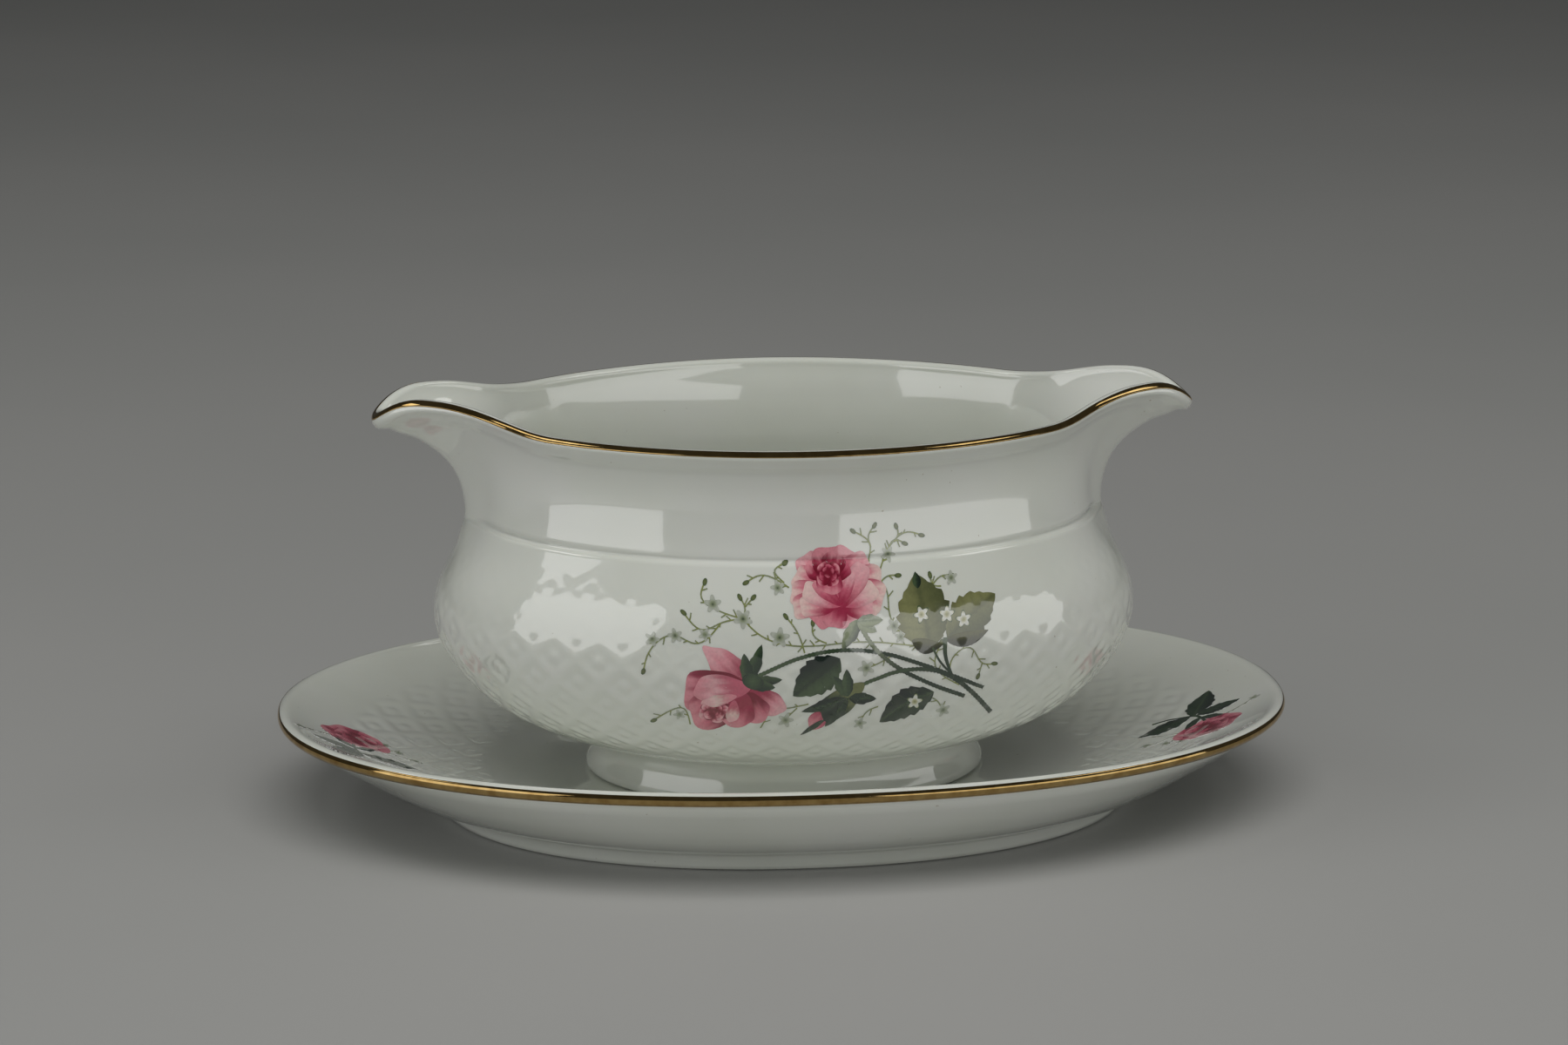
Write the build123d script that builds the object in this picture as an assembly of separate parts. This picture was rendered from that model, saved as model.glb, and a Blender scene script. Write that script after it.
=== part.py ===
"""Porcelain gravy boat with two pouring lips, standing on its oval underplate.

Frame: +X along the length, +Y across, +Z up, origin under the middle of the underplate's foot ring.
Sizes are millimetres. The boat and the plate are two castings, and the boat lifts off the plate.
A fired gold line runs round each rim, as a thin solid of its own.
"""
from build123d import *
import math
import os

# Underplate
PLATE_HALF_LENGTH = 120.0
PLATE_HALF_WIDTH = 78.0
PLATE_RIM_TOP = 24.3
WELL_HEIGHT = 8.0
PLATE_FOOT_HALF = (82.0, 58.5)
PLATE_FOOT_WALL = 3.6
PLATE_FLOOR_UNDERSIDE = 4.6
PLATE_GOLD_BAND = (21.2, 23.6)

# Boat
SEAT_GAP = 0.2
FOOT_BOTTOM = WELL_HEIGHT + SEAT_GAP
FOOT_HALF = (47.7, 37.6)
FOOT_WALL = 4.2
FOOT_RECESS_TOP = 16.2
FLOOR_HEIGHT = 20.8
WALL = 3.2
RIM_THINNING = 0.8
SHOULDER_HEIGHT = 69.6
WAIST_HALF = (70.6, 48.8)
COVE = 2.3
KEEL_RISE = 4.9
KEEL_HALF_WIDTH = 6.0
KEEL_FOOT_HEIGHT = 62.0
FLARE_POWER = 2.85
RIM_HALF_WIDTH = 52.5
RIM_OVAL_HALF = 68.0
RIM_OVAL_GAIN = 8.0
LIP_REACH = 20.8
LIP_ANGLE = 15.6
RIM_MIDDLE_HEIGHT = 95.5
LIP_PEAK_HEIGHT = 99.3
LIP_TIP_HEIGHT = 93.8
LIP_CLIMB_START = 58.0
LIP_PEAK_AT = 83.0
LIP_TIP_AT = RIM_OVAL_HALF + RIM_OVAL_GAIN + LIP_REACH
TRIM_REACH = 99.0
TRIM_STEPS = 33
GOLD_THICKNESS = 0.3
ABOVE_RIM = 108.0

# Outside of the belly as (half length, half width, height), from the foot to the shoulder
BELLY = [
    (47.0, 36.8, 18.6),
    (55.0, 43.4, 19.9),
    (63.5, 49.2, 23.2),
    (72.0, 54.0, 28.6),
    (78.6, 56.9, 35.6),
    (82.4, 58.3, 43.5),
    (82.7, 58.3, 51.0),
    (80.0, 56.8, 58.2),
    (76.4, 54.5, 64.0),
    (73.7, 51.8, SHOULDER_HEIGHT),
]
# Underside of the plate as (half length, half width, height), from the foot ring out to the rim
PLATE_UNDERSIDE = [
    (83.2, 59.4, 4.0),
    (90.6, 63.5, 6.0),
    (98.2, 67.5, 9.4),
    (105.6, 71.3, 13.6),
    (112.6, 74.8, 17.8),
    (118.6, 77.4, 21.2),
]
# Outer edge of the plate's rim, from its underside to its top
PLATE_EDGE = [
    (118.6, 77.4, 21.2),
    (119.8, 77.9, 22.2),
    (PLATE_HALF_LENGTH, PLATE_HALF_WIDTH, 23.0),
    (119.6, 77.8, 23.8),
    (118.9, 77.3, PLATE_RIM_TOP),
]
# Upper face of the plate, from the flat well out to just above the rim
PLATE_TOP = [
    (56.0, 43.5, WELL_HEIGHT),
    (70.0, 50.8, 8.7),
    (84.0, 58.2, 11.0),
    (96.0, 64.8, 14.9),
    (106.0, 70.3, 19.0),
    (113.0, 74.0, 22.0),
    (117.6, 76.3, PLATE_RIM_TOP),
    (119.0, 77.0, 25.6),
]
SECTION_POINTS = 72


def section_angles():
    """Angles round a section, set closer together near the two ends where the lips and keels are."""
    angles = []
    for index in range(SECTION_POINTS):
        turn = 2 * math.pi * index / SECTION_POINTS
        angles.append(turn - 0.3 * math.sin(2 * turn))
    return angles


def closed_wire(points):
    """One smooth closed wire through the points, evenly spaced in its parameter."""
    parameters = [index / len(points) for index in range(len(points) + 1)]
    vectors = [Vector(*point) for point in points]
    return Wire([Edge.make_spline(vectors, periodic=True, parameters=parameters)])


def oval_points(half_length, half_width, height):
    return [(half_length * math.cos(a), half_width * math.sin(a), height) for a in section_angles()]


def oval_loft(sections):
    """A smooth solid through level ellipses, each as (half length, half width, height)."""
    wires = []
    for half_length, half_width, height in sections:
        level = Plane(origin=(0, 0, height))
        wires.append(Wire([Edge.make_ellipse(half_length, half_width, plane=level)]))
    return Solid.make_loft(wires)


def inset_profile(profile, distance):
    """A profile moved inwards along its own normal, in length and in width."""
    moved = []
    for index, (half_length, half_width, height) in enumerate(profile):
        before = profile[max(index - 1, 0)]
        after = profile[min(index + 1, len(profile) - 1)]
        run = after[0] - before[0]
        rise = after[2] - before[2]
        size = math.hypot(run, rise)
        inward = distance * rise / size
        moved.append((half_length - inward, half_width - inward, height - distance * -run / size))
    return moved


def lip_share(angle):
    """1 at the tip of a lip, falling to 0 along the sides of the boat."""
    from_end = math.degrees(math.asin(min(1.0, abs(math.sin(angle)))))
    return math.exp(-((from_end / LIP_ANGLE) ** 3))


def rim_plan(angle):
    half_length = RIM_OVAL_HALF + RIM_OVAL_GAIN * math.cos(angle) ** 2 + LIP_REACH * lip_share(angle)
    return half_length * math.cos(angle), RIM_HALF_WIDTH * math.sin(angle)


def rim_height(x):
    """Height of the rim at a distance x from the middle: level, up to the lip's peak, down at its tip."""
    climb = min(max((abs(x) - LIP_CLIMB_START) / (LIP_PEAK_AT - LIP_CLIMB_START), 0.0), 1.0)
    dive = max((abs(x) - LIP_PEAK_AT) / (LIP_TIP_AT - LIP_PEAK_AT), 0.0)
    raised = (LIP_PEAK_HEIGHT - RIM_MIDDLE_HEIGHT) * climb * climb * (3 - 2 * climb)
    return RIM_MIDDLE_HEIGHT + raised - (LIP_PEAK_HEIGHT - LIP_TIP_HEIGHT) * dive ** 3


def neck_point(angle, rise):
    """A point on the outside of the neck: rise is 0 at the shoulder and 1 at the rim."""
    rim_x, rim_y = rim_plan(angle)
    across = WAIST_HALF[1] * math.sin(angle)
    keel = math.exp(-((across / KEEL_HALF_WIDTH) ** 2))
    low_rise = min(max(rise, 0.0), 1.0)
    cove = COVE * (1 - low_rise) ** 3 * (1 - keel)
    waist_x = (WAIST_HALF[0] + cove) * math.cos(angle) + KEEL_RISE * keel * math.copysign(1, math.cos(angle))
    waist_y = (WAIST_HALF[1] + cove) * math.sin(angle)
    flare = max(rise, 0.0) ** FLARE_POWER
    height = SHOULDER_HEIGHT + rise * (rim_height(rim_x) - SHOULDER_HEIGHT)
    return (waist_x + flare * (rim_x - waist_x), waist_y + flare * (rim_y - waist_y), height)


def inner_neck_point(angle, rise):
    """The neck's point moved inwards by the wall, along the surface's normal."""
    step = 0.01
    here = Vector(*neck_point(angle, rise))
    along = Vector(*neck_point(angle + step, rise)) - Vector(*neck_point(angle - step, rise))
    upward = Vector(*neck_point(angle, rise + step)) - Vector(*neck_point(angle, rise - step))
    normal = along.cross(upward).normalized()
    return tuple(here - normal * (WALL - RIM_THINNING * rise))


def top_section(grow):
    """A level section above the rim, where the trimming takes it away again."""
    points = []
    for angle in section_angles():
        rim_x, rim_y = rim_plan(angle)
        size = math.hypot(rim_x, rim_y)
        points.append((rim_x * (size + grow) / size, rim_y * (size + grow) / size, ABOVE_RIM))
    return points


def neck_outside():
    level = [(x, y, KEEL_FOOT_HEIGHT) for x, y, _ in (neck_point(a, 0.0) for a in section_angles())]
    wires = [closed_wire(level)]
    for rise in (0.0, 0.15, 0.32, 0.5, 0.68, 0.84, 1.0):
        wires.append(closed_wire([neck_point(a, rise) for a in section_angles()]))
    wires.append(closed_wire(top_section(4.0)))
    return Solid.make_loft(wires)


def cavity():
    """The inside of the boat, from its floor to above the rim."""
    inside = inset_profile(BELLY, WALL)
    sections = [(41.0, 33.0, FLOOR_HEIGHT)] + inside[1:-1]
    wires = [closed_wire(oval_points(*section)) for section in sections]
    for rise in (0.15, 0.32, 0.5, 0.68, 0.84, 1.0):
        wires.append(closed_wire([inner_neck_point(a, rise) for a in section_angles()]))
    wires.append(closed_wire(top_section(-1.0)))
    return Solid.make_loft(wires)


def below_rim(lower):
    """Everything under the rim's outline, lowered by a distance."""
    steps = range(-TRIM_STEPS, TRIM_STEPS + 1)
    outline = [(TRIM_REACH * step / TRIM_STEPS) for step in steps]
    top = Edge.make_spline([Vector(x, -80, rim_height(x) - lower) for x in outline])
    left, right = top.start_point(), top.end_point()
    corners = [right, Vector(right.X, -80, 0), Vector(left.X, -80, 0), left]
    sides = [Edge.make_line(a, b) for a, b in zip(corners, corners[1:])]
    return Solid.extrude(Face(Wire([top] + sides)), Vector(0, 160, 0))


def foot_ring():
    """The boat's flared foot, open underneath."""
    half_length, half_width = FOOT_HALF
    outside = oval_loft([
        (half_length, half_width, FOOT_BOTTOM),
        (half_length - 0.6, half_width - 0.6, FOOT_BOTTOM + 2.0),
        (half_length - 1.9, half_width - 1.9, FOOT_BOTTOM + 5.0),
        (half_length - 2.2, half_width - 2.2, FOOT_BOTTOM + 8.0),
        (half_length - 1.0, half_width - 1.0, FOOT_BOTTOM + 10.6),
    ])
    recess = oval_loft([
        (half_length - FOOT_WALL, half_width - FOOT_WALL, FOOT_BOTTOM - 1.0),
        (half_length - FOOT_WALL - 1.6, half_width - FOOT_WALL - 1.6, FOOT_RECESS_TOP),
    ])
    return outside - recess, recess


def build_boat():
    foot, recess = foot_ring()
    casting = (oval_loft(BELLY) + neck_outside() + foot) - cavity() - recess
    body = casting & below_rim(GOLD_THICKNESS)
    gold = (casting & below_rim(0.0)) - below_rim(GOLD_THICKNESS)
    return body, gold


def build_plate():
    half_length, half_width = PLATE_FOOT_HALF
    edge = oval_loft(PLATE_EDGE)
    blank = oval_loft(PLATE_UNDERSIDE) + edge
    core = oval_loft([(a - GOLD_THICKNESS, b - GOLD_THICKNESS, z) for a, b, z in PLATE_EDGE])
    low, high = PLATE_GOLD_BAND
    slab = Pos(0, 0, (low + high) / 2) * Box(300, 300, high - low)
    gold = (edge - core) & slab
    ring = oval_loft([(half_length, half_width, 0), (half_length + 0.7, half_width + 0.5, 5.4)])
    hollow = oval_loft([
        (half_length - PLATE_FOOT_WALL, half_width - PLATE_FOOT_WALL, -1.0),
        (half_length - PLATE_FOOT_WALL - 1.2, half_width - PLATE_FOOT_WALL - 1.2, PLATE_FLOOR_UNDERSIDE),
    ])
    return ((blank + ring) - hollow - oval_loft(PLATE_TOP)) - gold, gold


os.makedirs("parts", exist_ok=True)
boat, boat_gold_line = build_boat()
underplate, plate_gold_band = build_plate()
export_step(boat, "parts/boat.step")
export_step(boat_gold_line, "parts/boat_gold_line.step")
export_step(underplate, "parts/underplate.step")
export_step(plate_gold_band, "parts/plate_gold_band.step")
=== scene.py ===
"""Looks of a porcelain gravy boat on its underplate: glazed castings with a moulded diamond pattern, fired
gold on both rims, and printed sprays of roses.

The frame is the CAD frame: +X along the boat, +Y away from the camera, +Z up. Sizes here are millimetres, and
MM turns them into Blender's metres.
"""

import math

import bpy
import numpy as np
from mathutils import Matrix, Vector
from mathutils.bvhtree import BVHTree
from mathutils.geometry import delaunay_2d_cdt


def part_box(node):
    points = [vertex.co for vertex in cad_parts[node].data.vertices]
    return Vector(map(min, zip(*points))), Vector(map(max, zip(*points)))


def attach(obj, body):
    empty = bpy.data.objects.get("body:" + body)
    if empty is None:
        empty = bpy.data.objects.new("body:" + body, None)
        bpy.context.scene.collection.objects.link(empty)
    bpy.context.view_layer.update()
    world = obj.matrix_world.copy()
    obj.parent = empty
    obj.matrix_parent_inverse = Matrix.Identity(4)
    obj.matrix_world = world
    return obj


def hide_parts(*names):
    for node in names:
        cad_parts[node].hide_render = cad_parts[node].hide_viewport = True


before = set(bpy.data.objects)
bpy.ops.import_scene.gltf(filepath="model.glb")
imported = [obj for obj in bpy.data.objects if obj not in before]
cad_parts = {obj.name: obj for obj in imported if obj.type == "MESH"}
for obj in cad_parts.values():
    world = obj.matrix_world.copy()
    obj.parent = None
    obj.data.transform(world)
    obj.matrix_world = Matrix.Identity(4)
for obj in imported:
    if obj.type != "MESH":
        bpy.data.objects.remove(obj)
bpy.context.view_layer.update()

MM = 0.001


def extent(node):
    """Highest corner of a CAD node, in millimetres."""
    return np.array(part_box(node)[1]) / MM


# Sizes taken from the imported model
PLATE_HALF_LENGTH, PLATE_HALF_WIDTH, _ = extent("plate_gold_band")
PLATE_RIM_TOP = extent("underplate")[2]
LIP_TIP, RIM_HALF_WIDTH, LIP_PEAK_HEIGHT = extent("boat_gold_line")
FOOT_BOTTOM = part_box("boat")[0].z / MM

# Boat
FOOT_RECESS_TOP = 16.2
FLOOR_HEIGHT = 20.8
WALL = 3.2
RIM_THINNING = 0.8
SHOULDER_HEIGHT = 69.6
WAIST_HALF = (70.6, 48.8)
COVE = 2.3
KEEL_RISE = 4.9
KEEL_HALF_WIDTH = 6.0
KEEL_TOP_RISE = 1.9
KEEL_START_HEIGHT = 58.0
FLARE_POWER = 2.85
RIM_OVAL_HALF = 68.0
RIM_OVAL_GAIN = 8.0
LIP_SPARE = 0.4
LIP_REACH = LIP_TIP - RIM_OVAL_HALF - RIM_OVAL_GAIN + LIP_SPARE
LIP_ANGLE = 15.6
LIP_RISE = 3.8
RIM_MIDDLE_HEIGHT = LIP_PEAK_HEIGHT - LIP_RISE
LIP_DROP = 5.5
LIP_CLIMB_START = 58.0
LIP_PEAK_AT = 83.0
BEAD_RADIUS = 1.45
LIP_BEAD_RADIUS = 2.05
BEAD_DROP = 1.9
COLLAR_UNDERCUT = 0.7
GROOVE_DEPTH = 1.4
# Section of the groove at the shoulder, as (share of its depth, height above the shoulder)
GROOVE = [(0.25, 0.12), (0.68, 0.36), (0.97, 0.7), (1.0, 1.0), (0.9, 1.3)]
# Edges of the gold line, in degrees round the bead: along the sides, and how much more at the lips
GOLD_LOWER = (26, 46)
GOLD_UPPER = (88, 42)
GOLD_PROUD = 0.05
GOLD_SUNK = 0.15

# Plate
PLATE_FLOOR_UNDERSIDE = 4.6
WELL_HEIGHT = 8.0
PLATE_SQUARENESS = 2.13

# Moulded pattern: diamonds standing on their corners, with a dome in the middle of each
DIAMONDS_ROUND = 40
BELLY_DIAMOND = (11.2, 11.0)
PLATE_DIAMOND = (13.2, 13.5)
BELLY_DOME_HEIGHT = 41.8
PLATE_DOME_REACH = 98.5
RELIEF = 0.30
PLATE_RELIEF = 0.20
# Heights on the belly between which the pattern comes in, grows faint and ends
BELLY_PATTERN_IN = (22.5, 27.0)
BELLY_PATTERN_FAINT = (44.0, 56.0)
BELLY_PATTERN_OUT = (63.0, 68.5)
FAINTEST = 0.12
# Half lengths on the plate between which the pattern comes in and ends, and between which rows are fine
PLATE_PATTERN_IN = (70.0, 76.0)
PLATE_PATTERN_OUT = (100.5, 104.0)
PLATE_FINE_ROWS = (69.0, 105.0)

# Net of the meshes: points in a ring, the ovals they are spaced evenly on, and the distance between rings
COLUMNS = 560
BOAT_SPACING_OVAL = (82.5, 58.3)
PLATE_SPACING_OVAL = (98.5, 66.0)
BOAT_ROWS = 0.72
BOAT_INSIDE_ROWS = 2.2
PLATE_ROWS = 0.8
PLAIN_BELOW = 22.0

# Outside of the boat as (half length, half width, height), from the foot's edge up to the shoulder
BELLY_START = 7
BOAT_SIDE = [
    (47.6, 37.5, FOOT_BOTTOM + 1.0),
    (47.1, 37.0, FOOT_BOTTOM + 2.2),
    (46.0, 35.9, FOOT_BOTTOM + 4.6),
    (45.4, 35.3, FOOT_BOTTOM + 7.2),
    (46.0, 35.9, FOOT_BOTTOM + 9.2),
    (48.8, 38.2, FOOT_BOTTOM + 10.7),
    (55.0, 43.2, FOOT_BOTTOM + 11.9),
    (63.5, 49.2, 23.2),
    (72.0, 54.0, 28.6),
    (78.6, 56.9, 35.6),
    (82.4, 58.3, 43.5),
    (82.7, 58.3, 51.0),
    (80.0, 56.8, 58.2),
    (76.4, 54.5, 64.0),
    (73.7, 51.8, SHOULDER_HEIGHT),
]
# Foot ring and recess under the boat, from the middle out to the foot's edge
BOAT_UNDERSIDE = [
    (14.0, 10.5, FOOT_RECESS_TOP),
    (28.0, 21.0, FOOT_RECESS_TOP),
    (39.0, 29.6, FOOT_RECESS_TOP),
    (41.2, 31.4, FOOT_RECESS_TOP - 0.8),
    (42.2, 32.2, FOOT_RECESS_TOP - 2.6),
    (43.1, 33.0, FOOT_BOTTOM + 1.4),
    (43.5, 33.4, FOOT_BOTTOM + 0.4),
    (44.3, 34.2, FOOT_BOTTOM),
    (46.5, 36.4, FOOT_BOTTOM),
    (47.3, 37.2, FOOT_BOTTOM + 0.3),
]
# Floor inside the boat, from the wall in to the middle
BOAT_FLOOR = [
    (52.0, 40.6, 22.9),
    (44.0, 34.4, 21.3),
    (32.0, 25.0, FLOOR_HEIGHT),
    (16.0, 12.5, FLOOR_HEIGHT),
]
# Plate, from the middle underneath out to the rim
PLATE_BELOW = [
    (26.0, 18.5, PLATE_FLOOR_UNDERSIDE),
    (52.0, 37.0, PLATE_FLOOR_UNDERSIDE),
    (75.6, 52.2, PLATE_FLOOR_UNDERSIDE),
    (77.2, 53.7, 4.0),
    (78.2, 54.7, 1.4),
    (78.6, 55.1, 0.4),
    (79.4, 55.9, 0.0),
    (81.2, 57.7, 0.0),
    (81.9, 58.4, 0.4),
    (82.2, 58.7, 1.3),
    (82.8, 59.1, 3.4),
    (84.0, 60.0, 4.3),
    (90.6, 63.5, 6.0),
    (98.2, 67.5, 9.4),
    (105.6, 71.3, 13.6),
    (112.6, 74.8, 17.8),
    (117.6, 77.0, 20.6),
]
# Rounded edge of the plate's rim as (inset from the outermost line, height below the rim's top)
GILT_POINTS = 5
PLATE_RIM = [
    (1.1, 3.1),
    (0.35, 2.4),
    (0.0, 1.5),
    (0.2, 0.8),
    (0.45, 0.45),
    (0.8, 0.2),
    (1.6, 0.0),
    (2.4, 0.15),
]
# Upper face of the plate, from the rim in to the well
PLATE_ABOVE = [
    (116.6, 75.9, 23.75),
    (113.0, 74.0, 22.0),
    (106.0, 70.3, 19.0),
    (96.0, 64.8, 14.9),
    (84.0, 58.2, 11.0),
    (70.0, 50.8, 8.7),
    (60.0, 45.6, 8.1),
    (50.0, 38.8, WELL_HEIGHT),
    (30.0, 23.0, WELL_HEIGHT),
    (14.0, 10.8, WELL_HEIGHT),
]


# Numbers and curves

def smoothstep(low, high, value):
    share = np.clip((value - low) / (high - low), 0.0, 1.0)
    return share * share * (3 - 2 * share)


def natural_spline(knots, values, at):
    """Natural cubic spline through an array of values (one row per knot), read at other places."""
    flat = values.reshape(len(knots), -1)
    gaps = np.diff(knots)
    slopes = np.diff(flat, axis=0) / gaps[:, None]
    matrix = np.eye(len(knots))
    right = np.zeros_like(flat)
    for i in range(1, len(knots) - 1):
        matrix[i, i - 1:i + 2] = gaps[i - 1], 2 * (gaps[i - 1] + gaps[i]), gaps[i]
        right[i] = 6 * (slopes[i] - slopes[i - 1])
    bend = np.linalg.solve(matrix, right)
    span = np.clip(np.searchsorted(knots, at) - 1, 0, len(knots) - 2)
    gap = gaps[span][:, None]
    after = (at - knots[span])[:, None]
    before = gap - after
    curve = (bend[span] * before ** 3 + bend[span + 1] * after ** 3) / (6 * gap)
    curve += (flat[span] / gap - bend[span] * gap / 6) * before
    curve += (flat[span + 1] / gap - bend[span + 1] * gap / 6) * after
    return curve.reshape((len(at),) + values.shape[1:])


def lengths_along(rows):
    """Mean distance from the first row to each row."""
    gaps = np.linalg.norm(np.diff(rows, axis=0), axis=-1)
    while gaps.ndim > 1:
        gaps = gaps.mean(axis=-1)
    return np.concatenate([[0.0], np.cumsum(gaps)])


def through(rows, spacing):
    """Rows about one spacing apart on a smooth surface or line through the given rows."""
    rows = np.array(rows, float)
    knots = lengths_along(rows)
    count = max(2, round(knots[-1] / spacing) + 1)
    return natural_spline(knots, rows, np.linspace(0, knots[-1], count))


# Rings round the boat and the plate

def even_turns(half_length, half_width, count):
    """Angles of points spaced evenly round an ellipse, starting at its +X end."""
    fine = np.linspace(0, 2 * math.pi, 7201)
    speed = np.hypot(half_length * np.sin(fine), half_width * np.cos(fine))
    run = np.concatenate([[0.0], np.cumsum((speed[1:] + speed[:-1]) / 2)])
    return np.interp(np.arange(count) / count * run[-1], run, fine)


def oval(half_length, half_width, height, turns, squareness=2.0):
    across, along = np.cos(turns), np.sin(turns)
    size = (np.abs(across) ** squareness + np.abs(along) ** squareness) ** (-1 / squareness)
    level = np.full_like(turns, height)
    return np.stack([half_length * across * size, half_width * along * size, level], axis=-1)


def unit(vectors):
    return vectors / np.linalg.norm(vectors, axis=-1, keepdims=True)


def surface_normals(rows):
    """Outward unit normals of rows of points that run round, and up the outside."""
    around = np.roll(rows, -1, axis=1) - np.roll(rows, 1, axis=1)
    return unit(np.cross(around, np.gradient(rows, axis=0)))


def diamonds(around, along, size):
    """Height from 0 to 1 of the moulded pattern. around and along count diamonds, and size is one's in mm."""
    wide, high = size
    side = wide * high / math.hypot(wide, high)
    first, second = around + along, around - along
    to_centre_1 = first - np.round(first)
    to_centre_2 = second - np.round(second)
    to_rib = (0.5 - np.maximum(np.abs(to_centre_1), np.abs(to_centre_2))) * side
    ribs = 1 - smoothstep(0.03 * side, 0.30 * side, to_rib)
    away_x = (to_centre_1 + to_centre_2) / 2 * wide
    away_y = (to_centre_1 - to_centre_2) / 2 * high
    dome = smoothstep(0.26 * side, 0.06 * side, np.hypot(away_x, away_y))
    return np.maximum(ribs, 0.9 * dome)


def moulded_rows(rows, along, size, relief):
    """Rows raised by the pattern, from their distance to a row of domes and its depth at each."""
    around = np.arange(COLUMNS) / COLUMNS * DIAMONDS_ROUND
    pattern = diamonds(around[None, :], (along / size[1])[:, None], size)
    return rows + surface_normals(rows) * (relief[:, None] * pattern)[:, :, None]


# The boat's neck and rim

def lip_share(turns):
    from_end = np.degrees(np.arcsin(np.minimum(1.0, np.abs(np.sin(turns)))))
    return np.exp(-((from_end / LIP_ANGLE) ** 3))


def rim_plan(turns):
    half_length = RIM_OVAL_HALF + RIM_OVAL_GAIN * np.cos(turns) ** 2 + LIP_REACH * lip_share(turns)
    return half_length * np.cos(turns), RIM_HALF_WIDTH * np.sin(turns)


def rim_height(x):
    climb = smoothstep(LIP_CLIMB_START, LIP_PEAK_AT, np.abs(x))
    dive = np.maximum((np.abs(x) - LIP_PEAK_AT) / (LIP_TIP - LIP_PEAK_AT), 0.0)
    return RIM_MIDDLE_HEIGHT + (LIP_PEAK_HEIGHT - RIM_MIDDLE_HEIGHT) * climb - LIP_DROP * dive ** 3


def keel_share(turns):
    return np.exp(-((WAIST_HALF[1] * np.sin(turns) / KEEL_HALF_WIDTH) ** 2))


def neck(turns, rise):
    """Outside of the neck: rise is 0 at the shoulder and 1 at the rim, and may differ round the boat."""
    rim_x, rim_y = rim_plan(turns)
    keel = keel_share(turns)
    cove = COVE * (1 - rise) ** 3 * (1 - keel)
    waist_x = (WAIST_HALF[0] + cove) * np.cos(turns) + KEEL_RISE * keel * np.sign(np.cos(turns))
    waist_y = (WAIST_HALF[1] + cove) * np.sin(turns)
    flare = rise ** FLARE_POWER
    height = SHOULDER_HEIGHT + rise * (rim_height(rim_x) - SHOULDER_HEIGHT)
    x = waist_x + flare * (rim_x - waist_x)
    y = waist_y + flare * (rim_y - waist_y)
    return np.stack([x, y, height], axis=-1)


def neck_frame(turns, rise):
    """Point, outward normal and upward direction on the neck, and its upward speed per unit of rise."""
    step = 0.004
    upward = (neck(turns, rise + step) - neck(turns, rise - step)) / (2 * step)
    around = neck(turns + step, rise) - neck(turns - step, rise)
    speed = np.linalg.norm(upward, axis=-1)
    return neck(turns, rise), unit(np.cross(around, upward)), unit(upward), speed


def bead_frame(turns):
    """Centre, outward and upward directions of the rolled bead along the rim."""
    near_rim = 0.9
    rise = 1 - BEAD_DROP / neck_frame(turns, near_rim)[3]
    point, normal, upward, _ = neck_frame(turns, rise)
    half_wall = (WALL - RIM_THINNING) / 2
    return point - normal * half_wall, normal, upward, rise


def bead_row(turns, degrees, proud=0.0):
    """A line round the bead at an angle up from straight out, which may differ round the boat."""
    centre, normal, upward, _ = bead_frame(turns)
    angle = np.radians(degrees) * np.ones((len(turns), 1))
    radius = BEAD_RADIUS + (LIP_BEAD_RADIUS - BEAD_RADIUS) * lip_share(turns)[:, None] + proud
    return centre + radius * (np.cos(angle) * normal + np.sin(angle) * upward)


def collared_neck(turns, share):
    """Outside of the neck at a share of the way up to the bead, drawn in a little below the rolled collar."""
    point, normal, _, _ = neck_frame(turns, share * bead_frame(turns)[3])
    drawn_in = smoothstep(0.25, 0.75, share) * (1 - smoothstep(0.83, 0.93, share))
    return point - normal * COLLAR_UNDERCUT * drawn_in


# Meshes

def ring_steps(count):
    """Each place in a ring, and the one after it."""
    step = np.arange(count)
    return step, (step + 1) % count


def bridge(first, first_count, second, second_count):
    """Faces between two rings of vertices. One ring may have twice as many vertices as the other."""
    if first_count == second_count:
        step, after = ring_steps(first_count)
        return np.stack([first + step, first + after, second + after, second + step], axis=1).tolist()
    few, few_after = ring_steps(min(first_count, second_count))
    many, many_next = 2 * few, 2 * few + 1
    many_after = (2 * few + 2) % (2 * len(few))
    if first_count > second_count:
        corners = [
            (first + many, first + many_next, second + few),
            (first + many_next, first + many_after, second + few_after),
            (first + many_next, second + few_after, second + few),
        ]
    else:
        corners = [
            (first + few, second + many_next, second + many),
            (first + few_after, second + many_after, second + many_next),
            (first + few, first + few_after, second + many_next),
        ]
    return np.concatenate([np.stack(c, axis=1) for c in corners]).tolist()


def new_mesh(name, points, faces):
    """A smooth-shaded piece from points in millimetres."""
    mesh = bpy.data.meshes.new(name)
    mesh.from_pydata((np.asarray(points) * MM).tolist(), [], faces)
    mesh.shade_smooth()
    piece = bpy.data.objects.new(name, mesh)
    bpy.context.scene.collection.objects.link(piece)
    return piece


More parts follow.
